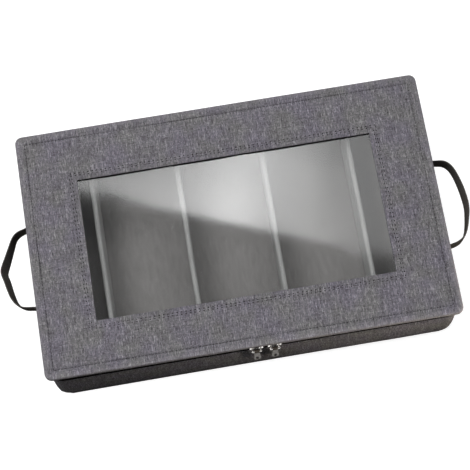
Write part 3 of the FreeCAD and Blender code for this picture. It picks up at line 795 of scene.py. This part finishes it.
def make_back_shadow_strip():
    """Black tape on the sheet whose edge peeps out from under the cloth along the window's back: painted shade, a
    dark line that stands for the shadow along that edge.
    """
    _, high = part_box("window_sheet")
    strip = Outline(WINDOW.left - 2 * MM, WINDOW.right + 2 * MM, WINDOW.back - 1.9 * MM, WINDOW.back + 2.1 * MM, 0.0)
    bm = flat_cloth(strip, high.z + 0.30 * MM, 1.0 * MM)
    for vert in bm.verts:
        depth = vert.co.y - strip.front
        vert.co.y += ripple((vert.co.x, 0, 0), 0.04, 0.5 * MM) * (1 - min(depth / (3 * MM), 1.0))
        vert.co.z -= 0.22 * MM * (1 - min(depth / (0.8 * MM), 1.0))
    lay_sheet(bm)
    make_piece("window_back_shadow_strip", bm, TAPE, "lid")


def make_lid_lining():
    """Lining under the lid's board, open at the window."""
    low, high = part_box("lid_lining")
    outline = outline_of("lid_lining", LID_CORNER - 1.1 * MM)
    bm = flat_cloth(outline, low.z, 7 * MM)
    score_seams(bm, WINDOW, [0.0])
    cut_window(bm, WINDOW)
    round_corners(bm, outline)
    for vert in bm.verts:
        vert.co.z += ripple(vert.co, 0.05, 0.12 * MM)
    lay_sheet(bm, inward=True)
    lining = make_piece("lid_lining_cloth", bm, LINING, "lid", ["lid_lining"])
    thicken(lining, high.z - low.z - 0.05 * MM)


# Body

def rightward(point):
    """Share of the way from the left end to the right end."""
    return clamp((point.x - WALL.left) / (WALL.right - WALL.left))


def wall_top(point):
    """Height of the walls' cloth: lower along the zipper, where its tape shows, and up to the hinge at the back."""
    _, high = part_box("lower_zip_tape")
    open_share = clamp((high.y - 2 * MM - point.y) / (10 * MM))
    show = TAPE_SHOW_LEFT + (TAPE_SHOW_RIGHT - TAPE_SHOW_LEFT) * rightward(point)
    return RIM - show * open_share


def front_slack(point):
    """How the front wall's cloth bellies out half way up and is drawn in at its foot, more so towards the right."""
    near = clamp(1 - (point.y - WALL.front) / (40 * MM)) ** 2
    up = clamp((point.z - WALL_LOW) / (wall_top(point) - WALL_LOW))
    ends = 1 - abs(point.x / WALL.right) ** 8
    belly = (0.5 + 2.7 * rightward(point)) * MM * math.sin(math.pi * up ** 0.75) * max(ends, 0)
    drawn = (0.4 + 2.3 * rightward(point) ** 0.7) * MM * max(1 - up / 0.45, 0) ** 1.7
    return Vector((0, near * (drawn - belly), 0))


def make_wall_cloth():
    """Outer cloth of the walls, slightly slack over its boards, with the zipper's seam below its edge."""
    reach = RIM - WALL_LOW
    seam = RIM - RIM_SEAM_DROP
    heights = [WALL_LOW, WALL_LOW + 0.6 * MM, WALL_LOW + 1.6 * MM]
    heights += even_steps(WALL_LOW + 4 * MM, seam - 3 * MM, 12)
    heights += even_steps(seam - 1.4 * MM, seam + 1.4 * MM, 4) + [RIM - 0.5 * MM]
    bm, edges = standing_band(WALL, heights, 5 * MM)
    for vert in bm.verts:
        out = outward(WALL, vert.co)
        up = vert.co.z - WALL_LOW
        slack = clamp(min(up, seam - vert.co.z) / (10 * MM))
        bulge = slack * (ripple(vert.co, 0.06, 0.45 * MM) + ripple(vert.co, 0.024, 0.15 * MM))
        bulge += swell(vert.co.z - seam, 0.8 * MM, -0.30 * MM)
        bulge += swell(up, 0.9 * MM, -0.35 * MM)
        share = max(up / reach - 0.8, 0) / 0.2
        vert.co.z -= (RIM - wall_top(vert.co)) * share
        vert.co += out * (bulge - 0.1 * MM)
        vert.co += front_slack(vert.co)
    fold_edge(bm, edges, WALL, in_mm((-0.12, 0.2), (-0.16, 0), (-0.15, -0.4), (-0.4, -1.6)))
    lay_sheet(bm, WALL)
    make_piece("wall_cloth", bm, HEATHER, "case_body", ["wall_cover", "front_wall_board"])


def make_base_cloth():
    """Underside cloth whose edge turns up all round to meet the walls."""
    flat = inset(WALL, BASE_EDGE_ROUND)
    bm = flat_cloth(flat, 0.0, 12 * MM)
    round_corners(bm, flat)
    edges = [edge for edge in bm.edges if edge.is_boundary]
    rise = WALL_LOW - BASE_EDGE_ROUND
    steps = quarter_round(BASE_EDGE_ROUND, 5, downward=False)
    steps += [(0, rise - 0.4 * MM)] + in_mm((-0.25, 0.3), (-0.6, 0.05))
    fold_edge(bm, edges, flat, steps)
    for vert in bm.verts:
        vert.co += front_slack(vert.co)
    lay_sheet(bm, inward=True)
    make_piece("base_cloth", bm, BASE_CLOTH, "case_body", ["base_cover"])


def make_wall_lining():
    """Lining of the walls, turned out over the rim to the zipper's tape."""
    low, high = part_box("wall_lining")
    outer = outline_of("wall_lining", BODY_CORNER - 2.8 * MM)
    inner = inset(outer, CLOTH)
    bm, edges = standing_band(inner, even_steps(low.z, high.z - 0.6 * MM, 10), 8 * MM)
    for vert in bm.verts:
        slack = clamp((high.z - vert.co.z) / (12 * MM))
        vert.co += outward(inner, vert.co) * slack * abs(ripple(vert.co, 0.07, 0.5 * MM))
    fold_edge(bm, edges, inner, in_mm((0.25, 0.45), (0.5, 0.1), (1.0, -0.1), (0.2, -0.5)))
    lay_sheet(bm, inner, inward=True)
    make_piece("wall_lining_cloth", bm, LINING, "case_body", ["wall_lining"])


def make_floor_cushion(divider_places):
    """Thin padded floor, a little crowned between the dividers."""
    low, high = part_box("floor_pad")
    outline = outline_of("floor_pad", BODY_CORNER - 3.9 * MM)
    flat = inset(outline, PAD_ROUND)
    bm = flat_cloth(flat, high.z - 0.15 * MM, 6 * MM)
    score(bm, (1, 0, 0), [place + side * 2.6 * MM for place in divider_places for side in (-1, 0, 1)])
    round_corners(bm, flat)
    for vert in bm.verts:
        nearest = min(abs(vert.co.x - place) for place in divider_places)
        vert.co.z += swell(nearest, 9 * MM, -0.7 * MM) + ripple(vert.co, 0.045, 0.35 * MM)
    edges = [edge for edge in bm.edges if edge.is_boundary]
    fold_edge(bm, edges, flat, quarter_round(PAD_ROUND, 3) + [(0, low.z - high.z + 1.6 * MM)])
    lay_sheet(bm)
    pad = make_piece("floor_cushion", bm, LINING, "case_body", ["floor_pad"])


def make_divider(index):
    """Upright divider: cloth folded over a board, rounded and a little wavy along its top."""
    name = f"divider_{index}"
    low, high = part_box(f"{name}_sleeve")
    middle = (low + high) / 2
    bm = bmesh.new()
    bmesh.ops.create_cube(bm, size=1.0)
    bmesh.ops.scale(bm, vec=high - low, verts=bm.verts)
    bmesh.ops.translate(bm, vec=middle, verts=bm.verts)
    crown = [
        edge for edge in bm.edges
        if all(vert.co.z > middle.z for vert in edge.verts) and abs(edge.verts[0].co.y - edge.verts[1].co.y) > MM
    ]
    bmesh.ops.bevel(
        bm, geom=crown, offset=2.4 * MM, offset_type="OFFSET", segments=5, profile=0.5, affect="EDGES", material=-1,
    )
    score(bm, (0, 1, 0), even_steps(low.y, high.y, 40)[1:-1])
    score(bm, (0, 0, 1), [low.z + (high.z - low.z) * share for share in (0.2, 0.4, 0.6, 0.75, 0.86, 0.9, 0.94)])
    for vert in bm.verts:
        up = (vert.co.z - low.z) / (high.z - low.z)
        vert.co.x += up * ripple((vert.co.y, index * 0.3, vert.co.z * 0.4), 0.05, 0.55 * MM)
        vert.co.z += max(up - 0.5, 0) * (ripple((vert.co.y, index * 0.7, 0), 0.04, 0.8 * MM) - 0.4 * MM)
        seam = swell(vert.co.z - (high.z - 6 * MM), 0.9 * MM, 0.25 * MM)
        vert.co.x -= math.copysign(seam, vert.co.x - middle.x)
    bmesh.ops.recalc_face_normals(bm, faces=bm.faces)
    lay_cloth(bm)
    nodes = [f"{name}_sleeve", f"{name}_board"]
    make_piece(f"{name}_cloth", bm, DIVIDER_CLOTH, name, nodes)


# Zipper

def make_tape(name, node, body, hidden=0.0):
    """Woven zipper tape that follows the rim from one back corner round to the other.

    Its lower edge may reach a hidden depth further down behind the wall's cloth."""
    low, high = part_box(node)
    low.z -= hidden
    outline = Outline(low.x, high.x, low.y, -low.y, BODY_CORNER - 0.95 * MM)
    bm, _ = standing_band(outline, even_steps(low.z, high.z, 4), 6 * MM)
    keep_beyond(bm, high.y, behind=False)
    lay_sheet(bm, outline)
    tape = make_piece(name, bm, TAPE, body, [node])
    thicken(tape, TAPE_THICK)


def make_hinge_cloth():
    """Cloth hinge along the back, which bends as the lid swings."""
    low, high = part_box("hinge_strip")
    bm, _ = standing_band(WALL, even_steps(low.z, high.z, 12), 6 * MM)
    keep_beyond(bm, low.y, behind=True)
    middle = (low.z + high.z) / 2
    for vert in bm.verts:
        bulge = swell(vert.co.z - middle, 1.2 * MM, -0.35 * MM) + ripple(vert.co, 0.03, 0.15 * MM)
        vert.co += outward(WALL, vert.co) * (bulge - 0.1 * MM)
    lay_sheet(bm, WALL)
    hinge = make_piece("hinge_cloth", bm, HEATHER, stands_for=["hinge_strip"])
    thicken(hinge, CLOTH)
    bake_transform(hinge, "case_body", "lid", start=(0, high.y, low.z + 0.5 * MM), end=(0, high.y, high.z - 0.5 * MM))


def dress(node, material):
    """Give a solid its finish."""
    mesh = NODES[node].data
    mesh.materials.clear()
    mesh.materials.append(material)


def dress_metal(node, material):
    """Rounded edges and nickel plate on a slider or pull."""
    weld = NODES[node].modifiers.new("joined faces", "WELD")
    weld.merge_threshold = 1e-6
    soften(NODES[node], 0.28 * MM, segments=3, angle=35)
    dress(node, material)


# Handles

# Each route is pairs of distance out from the wall and place along it, in millimetres. Each lean is how far the
# strap's top edge tips outwards, in degrees at shares of its run.
LEFT_ROUTE = (
    (0.8, 64.0), (0.8, 52.0), (0.8, 41.0), (2.6, 37.0), (6.5, 35.8), (13.0, 33.8), (17.8, 29.6),
    (22.2, 19.2), (26.8, 8.5), (31.4, -1.6), (31.6, -5.4), (29.6, -12.6), (27.9, -22.3), (25.0, -33.6),
    (20.4, -39.8), (14.6, -43.2), (5.4, -44.2), (1.0, -46.0), (0.8, -52.0), (0.8, -61.0), (0.8, -70.0),
)
LEFT_LEAN = ((0.0, 0), (0.20, 0), (0.32, 10), (0.45, 17), (0.53, 19), (0.66, 15), (0.78, 4), (1.0, 0))
RIGHT_ROUTE = (
    (0.8, 64.0), (0.8, 52.0), (0.8, 42.0), (2.8, 38.0), (8.4, 37.2), (16.6, 36.0), (22.2, 30.4),
    (25.6, 21.2), (28.2, 9.5), (29.8, -2.9), (30.2, -13.5), (27.7, -25.7), (24.0, -38.2), (18.8, -45.2),
    (13.3, -48.4), (6.4, -49.8), (1.2, -51.0), (0.8, -56.0), (0.8, -63.0), (0.8, -70.0),
)
RIGHT_LEAN = ((0.0, 0), (0.18, 0), (0.32, 6), (0.45, 10), (0.60, 11), (0.72, 5), (0.80, 0), (1.0, 0))


def strap_line(name, points):
    """The strap's middle line: a smooth spline through the loop that it makes."""
    curve = bpy.data.curves.new(name, "CURVE")
    curve.dimensions = "3D"
    curve.resolution_u = 10
    spline = curve.splines.new("NURBS")
    spline.points.add(len(points) - 1)
    for spot, point in zip(spline.points, points):
        spot.co = (*point, 1)
    spline.order_u = 3
    spline.use_endpoint_u = True
    line = add_object(name, curve)
    bpy.context.view_layer.update()
    mesh = bpy.data.meshes.new_from_object(line.evaluated_get(bpy.context.evaluated_depsgraph_get()))
    spots = [vert.co.copy() for vert in mesh.vertices]
    bpy.data.objects.remove(line)
    bpy.data.curves.remove(curve)
    bpy.data.meshes.remove(mesh)
    return spots


def between(table, share):
    """A value from a table of shares and values."""
    for (low, first), (high, second) in zip(table, table[1:]):
        if share <= high:
            return first + (second - first) * (share - low) / (high - low)
    return table[-1][1]


def make_strap(name, side, route, lean):
    """Webbing handle: a flat strap that stands on edge, sewn to the wall at both ends."""
    wall_x = WALL.right if side > 0 else WALL.left
    sewn_low, sewn_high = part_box(f"{name}_handle_sewn_ends")
    height = (sewn_low.z + sewn_high.z) / 2
    half_width = (sewn_high.z - sewn_low.z) / 2
    points = [Vector((wall_x + side * out * MM, along * MM, height)) for out, along in route]
    line = strap_line(f"{name}_strap_line", points)
    runs = [0.0]
    for before, after in zip(line, line[1:]):
        runs.append(runs[-1] + (after - before).length)
    bm = bmesh.new()
    bmesh.ops.create_grid(bm, x_segments=1, y_segments=8, size=0.5)
    bmesh.ops.scale(bm, vec=(STRAP_THICK, 2 * half_width, 1), verts=bm.verts)
    labels = ("along", "across", "through")
    for label in labels:
        bm.verts.layers.float.new(label)
    along, across, through = (bm.verts.layers.float[label] for label in labels)
    for vert in bm.verts:
        vert[across], vert[through] = vert.co.y, vert.co.x

    def place_ring(verts, index):
        """Set a ring of points square across the strap's line, leaned and a little cupped."""
        before, after = line[max(index - 1, 0)], line[min(index + 1, len(line) - 1)]
        ahead = (after - before).normalized()
        tip = math.radians(-side * between(lean, runs[index] / runs[-1]))
        up = (Matrix.Rotation(tip, 3, ahead) @ UP).normalized()
        out = up.cross(ahead).normalized()
        bow = math.sin(math.pi * runs[index] / runs[-1])
        for vert in verts:
            edge = vert[across] / half_width
            thin = 1 - 0.45 * max(abs(edge) - 0.7, 0) / 0.3
            cup = side * 0.5 * MM * (1 - edge * edge) * bow
            vert.co = line[index] + out * (vert[through] * thin + cup) + up * vert[across]
            vert[along] = runs[index]

    place_ring(bm.verts, 0)
    faces = bm.faces[:]
    for index in range(1, len(line)):
        made = bmesh.ops.extrude_face_region(bm, geom=faces)["geom"]
        if index > 1:
            bmesh.ops.delete(bm, geom=faces, context="FACES_ONLY")
        faces = of_kind(made, BMFace)
        place_ring(of_kind(made, BMVert), index)
    bmesh.ops.remove_doubles(bm, verts=bm.verts, dist=1e-7)
    bmesh.ops.recalc_face_normals(bm, faces=bm.faces)
    cloth = bm.loops.layers.uv.new("cloth")
    for face in bm.faces:
        for loop in face.loops:
            loop[cloth].uv = (loop.vert[along], loop.vert[across])
    nodes = [f"{name}_handle_{part}" for part in ("grip", "roots", "sewn_ends")]
    strap = make_piece(f"{name}_strap", bm, WEBBING, stands_for=nodes)
    soften(strap, 0.35 * MM, segments=2, angle=60)
    start = (wall_x + side * 2.2 * MM, 0, height)
    end = (wall_x + side * 15 * MM, 0, height)
    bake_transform(strap, "case_body", f"{name}_handle", start=start, end=end)


# Stitches

Stitch = namedtuple("Stitch", "pitch length width lift")
LID_STITCH = Stitch(3.2 * MM, 3.1 * MM, 0.62 * MM, 0.05 * MM)
WINDOW_STITCH = Stitch(4.3 * MM, 1.9 * MM, 1.05 * MM, 0.0)
RIM_STITCH = Stitch(3.4 * MM, 2.5 * MM, 0.8 * MM, 0.1 * MM)
STRAP_STITCH = Stitch(2.6 * MM, 2.0 * MM, 0.7 * MM, 0.0)
WINDOW_ROWS_APART = 2.4 * MM
WINDOW_ROW_OVERRUN = 2.5 * MM
STRAP_BOX_SIDE = 3 * MM
STRAP_BOX_EDGE = 2.2 * MM


def walk(points, pitch, closed=False, lead=0.0):
    """Places and headings at even steps along a line of points."""
    if closed:
        points = points + points[:1]
    lengths = [(b - a).length for a, b in zip(points, points[1:])]
    count = int((sum(lengths) - lead) / pitch)
    places = []
    segment, passed = 0, 0.0
    for step in range(count):
        target = lead + (step + 0.5) * pitch
        while segment < len(lengths) - 1 and passed + lengths[segment] < target:
            passed += lengths[segment]
            segment += 1
        start, end = points[segment], points[segment + 1]
        ahead = (end - start).normalized()
        places.append((start + ahead * (target - passed), ahead))
    return places


def sew(name, rows, body, stitch, material=THREAD):
    """Rows of stitches, each a short rounded thread lying along its row. A row is places, headings and the way up."""
    mesh = bpy.data.meshes.new(name)
    length, width = stitch.length, stitch.width
    for places, up in rows:
        bm = bmesh.new()
        for spot, ahead in places:
            above = up(spot) if callable(up) else up
            across = above.cross(ahead).normalized()
            turn = Matrix((ahead * length / 2, across * width / 2, above * width / 2)).transposed().to_4x4()
            turn.translation = spot + above * stitch.lift
            bmesh.ops.create_uvsphere(bm, u_segments=6, v_segments=4, radius=1.0, matrix=turn)
        bm.from_mesh(mesh)
        bm.to_mesh(mesh)
        bm.free()
    bm = bmesh.new()
    bm.from_mesh(mesh)
    bpy.data.meshes.remove(mesh)
    make_piece(name, bm, material, body)


def split_row(row, length=60):
    """A long row of stitches in lengths that are sewn one after another."""
    return [row[start:start + length] for start in range(0, len(row), length)]


def on_lid(point):
    """A point of the lid's plan, raised onto its cloth."""
    spot = Vector((point.x, point.y, 0))
    spot.z = LID_FACE + lid_relief(spot)
    return spot


def raised(places):
    """A row of stitches, raised onto the lid's cloth."""
    return [(on_lid(spot), ahead) for spot, ahead in places]


def make_stitches():
    """Seams of the lid's edge, the window's hem in two rows, and the rim."""
    seam = along_outline(inset(LID, LID_SEAM_DEPTH), 0)
    sides = split_row(raised(walk(seam, LID_STITCH.pitch, closed=True)))
    sew("lid_edge_stitches", [(row, UP) for row in sides], "lid", LID_STITCH)
    rows = []
    over, pitch = WINDOW_ROW_OVERRUN, WINDOW_STITCH.pitch
    for number, side in enumerate((-0.5, 0.5)):
        line = inset(WINDOW, -WINDOW_STITCH_GAP - side * WINDOW_ROWS_APART)
        ends = [((line.left - over, y), (line.right + over, y)) for y in (line.front, line.back)]
        ends += [((x, line.front - over), (x, line.back + over)) for x in (line.left, line.right)]
        for pair in ends:
            row = walk([Vector((*end, 0)) for end in pair], pitch, lead=number * pitch / 2)
            rows.append((raised(row), UP))
    sew("window_stitches", rows, "lid", WINDOW_STITCH)
    rim_line = inset(WALL, 0.45 * MM)
    rim_row = []
    for spot, ahead in walk(along_outline(rim_line, 0), RIM_STITCH.pitch, closed=True):
        place = Vector((spot.x, spot.y, wall_top(spot) - RIM_SEAM_DROP))
        rim_row.append((place + front_slack(place), ahead))
    rows = [(row, lambda spot: outward(rim_line, spot)) for row in split_row(rim_row)]
    sew("rim_stitches", rows, "case_body", RIM_STITCH)


def make_strap_stitches(name, side):
    """A box of stitches with a cross in it on each sewn end of a strap."""
    low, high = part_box(f"{name}_handle_sewn_ends")
    face_x = high.x if side > 0 else low.x
    bottom, top = low.z + STRAP_BOX_EDGE, high.z - STRAP_BOX_EDGE
    out = Vector((side, 0, 0))
    rows = []
    for start in (low.y, high.y - SEWN_LENGTH):
        near, far = start + STRAP_BOX_SIDE, start + SEWN_LENGTH - STRAP_BOX_SIDE
        box = [Vector((face_x, y, z)) for y, z in ((near, bottom), (far, bottom), (far, top), (near, top))]
        rows.append((walk(box, STRAP_STITCH.pitch, closed=True), out))
        rows += [(walk(cross, STRAP_STITCH.pitch), out) for cross in (box[0::2], box[1::2])]
    sew(f"{name}_strap_stitches", rows, "case_body", STRAP_STITCH, STRAP_THREAD)


# The case

divider_places = [sum(corner.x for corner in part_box(f"divider_{index}_sleeve")) / 2 for index in range(1, 5)]
make_lid_cloth()
make_window_sheet()
make_window_binding()
make_back_shadow_strip()
make_lid_lining()
make_wall_cloth()
make_base_cloth()
make_wall_lining()
make_floor_cushion(divider_places)
for index in range(1, 5):
    make_divider(index)
make_tape("lower_tape", "lower_zip_tape", "case_body", hidden=TAPE_HIDDEN)
make_tape("upper_tape", "upper_zip_tape", "lid")
make_hinge_cloth()
for node in ("lower_zip_teeth", "upper_zip_teeth", "zip_end_stops"):
    dress(node, TEETH)
for side in ("left", "right"):
    dress_metal(f"{side}_slider", NICKEL)
    dress_metal(f"{side}_pull", SHADED_NICKEL)
for node in ("lid_board", "base_board", "back_wall_board", "left_wall_board", "right_wall_board"):
    dress(node, BOARD)
make_strap("left", -1, LEFT_ROUTE, LEFT_LEAN)
make_strap("right", 1, RIGHT_ROUTE, RIGHT_LEAN)
make_stitches()
make_strap_stitches("left", -1)
make_strap_stitches("right", 1)


# Floor, light and camera

FLOOR_HALF = 6.0
FLOOR_DROP = 0.2 * MM
SENSOR_WIDTH = 36.0


def make_floor():
    """Wide white floor that keeps the case's shadow."""
    bm = bmesh.new()
    bmesh.ops.create_grid(bm, x_segments=1, y_segments=1, size=FLOOR_HALF)
    bmesh.ops.translate(bm, vec=(0, 0, -FLOOR_DROP), verts=bm.verts)
    finish = Finish("white floor")
    paint = finish.node("BsdfDiffuse", {"Color": (0.40, 0.40, 0.40, 1)})
    glow = finish.node("Emission", {"Color": (1, 1, 1, 1), "Strength": 0.86})
    bright = finish.node("AddShader", {0: paint.outputs[0], 1: glow.outputs[0]})
    dull = finish.node("BsdfDiffuse", {"Color": (0.085, 0.078, 0.066, 1)})
    finish.show_either(finish.seen_by_eye(), dull, bright)
    floor = mesh_object("floor", bm, finish.material)


def make_world():
    """Even studio air: white at the horizon for the eye, dim overhead."""
    SCENE.world = bpy.data.worlds.new("studio")
    nodes = Nodes(SCENE.world, "World")
    air = nodes.node("Background", {"Color": (0.96, 0.98, 1.0, 1), "Strength": 0.06})
    height = nodes.part(nodes.node("TexCoord").outputs["Generated"], "Z")
    level = nodes.node("MapRange", {
        "Value": height, "From Min": 0.25, "From Max": 0.6, "To Min": 1.0, "To Max": 0.24,
    })
    backdrop = nodes.node("Background", {"Color": (1, 1, 1, 1), "Strength": level.outputs[0]})
    nodes.show_either(nodes.seen_by_eye(), air, backdrop)


def shade_softbox(lamp, stops):
    """Let a softbox fall off along its length, by shares of it."""
    nodes = Nodes(lamp, "Light")
    share = nodes.part(nodes.node("NewGeometry").outputs["Parametric"], "X")
    nodes.show(nodes.node("Emission", {"Strength": nodes.ramp(share, *stops)}))


def make_softbox(name, place, aim, size, power, turn=0.0, tint=(1, 1, 1), fade=(), spread=180.0):
    """Soft light that hangs at a place and faces a point, with its turn and spread in degrees."""
    lamp = bpy.data.lights.new(name, "AREA")
    lamp.shape = "RECTANGLE"
    lamp.size, lamp.size_y = size
    lamp.energy = power
    lamp.color = tint
    lamp.spread = math.radians(spread)
    if fade:
        shade_softbox(lamp, fade)
    box = add_object(name, lamp)
    box.location = place
    facing = (Vector(aim) - Vector(place)).to_track_quat("-Z", "Y")
    box.rotation_euler = (facing.to_matrix() @ Matrix.Rotation(math.radians(turn), 3, "Z")).to_euler()


def make_camera(place, elevation, azimuth, roll, lens):
    """Camera that looks down on the case from in front, turned a little about its own axis."""
    camera = bpy.data.cameras.new("camera")
    camera.sensor_width = SENSOR_WIDTH
    camera.lens = lens
    facing = Matrix.Translation(place)
    for degrees, axis in ((-azimuth, "Z"), (90 - elevation, "X"), (roll, "Z")):
        facing @= Matrix.Rotation(math.radians(degrees), 4, axis)
    SCENE.camera = add_object("camera", camera)
    SCENE.camera.matrix_world = facing


make_floor()
make_world()
make_softbox(
    "back_softbox", (0.066, 0.906, 1.550), (-0.034, -0.024, 0.100), size=(1.05, 0.79), power=18.5, turn=-15.9,
    fade=((0.0, 0.12), (0.22, 0.34), (0.39, 1.0), (0.52, 0.66), (0.68, 0.46), (1.0, 0.30)),
)
make_softbox("left_softbox", (-0.85, -0.12, 1.75), (0.0, 0.0, 0.05), size=(0.9, 0.9), power=23.0)
make_softbox("right_softbox", (1.05, -0.24, 1.45), (0.0, 0.0, 0.05), size=(0.9, 0.9), power=9.0)
make_softbox(
    "front_lamp", (0.80, -0.42, 0.082), (0.165, -0.124, 0.125), size=(0.10, 0.05), power=0.13,
    tint=(1.0, 0.90, 0.74), spread=20.0,
)
make_camera((-0.03407, -0.49615, 1.57461), elevation=72.047, azimuth=3.848, roll=-5.583, lens=125.26)
SCENE.view_settings.view_transform = "Standard"
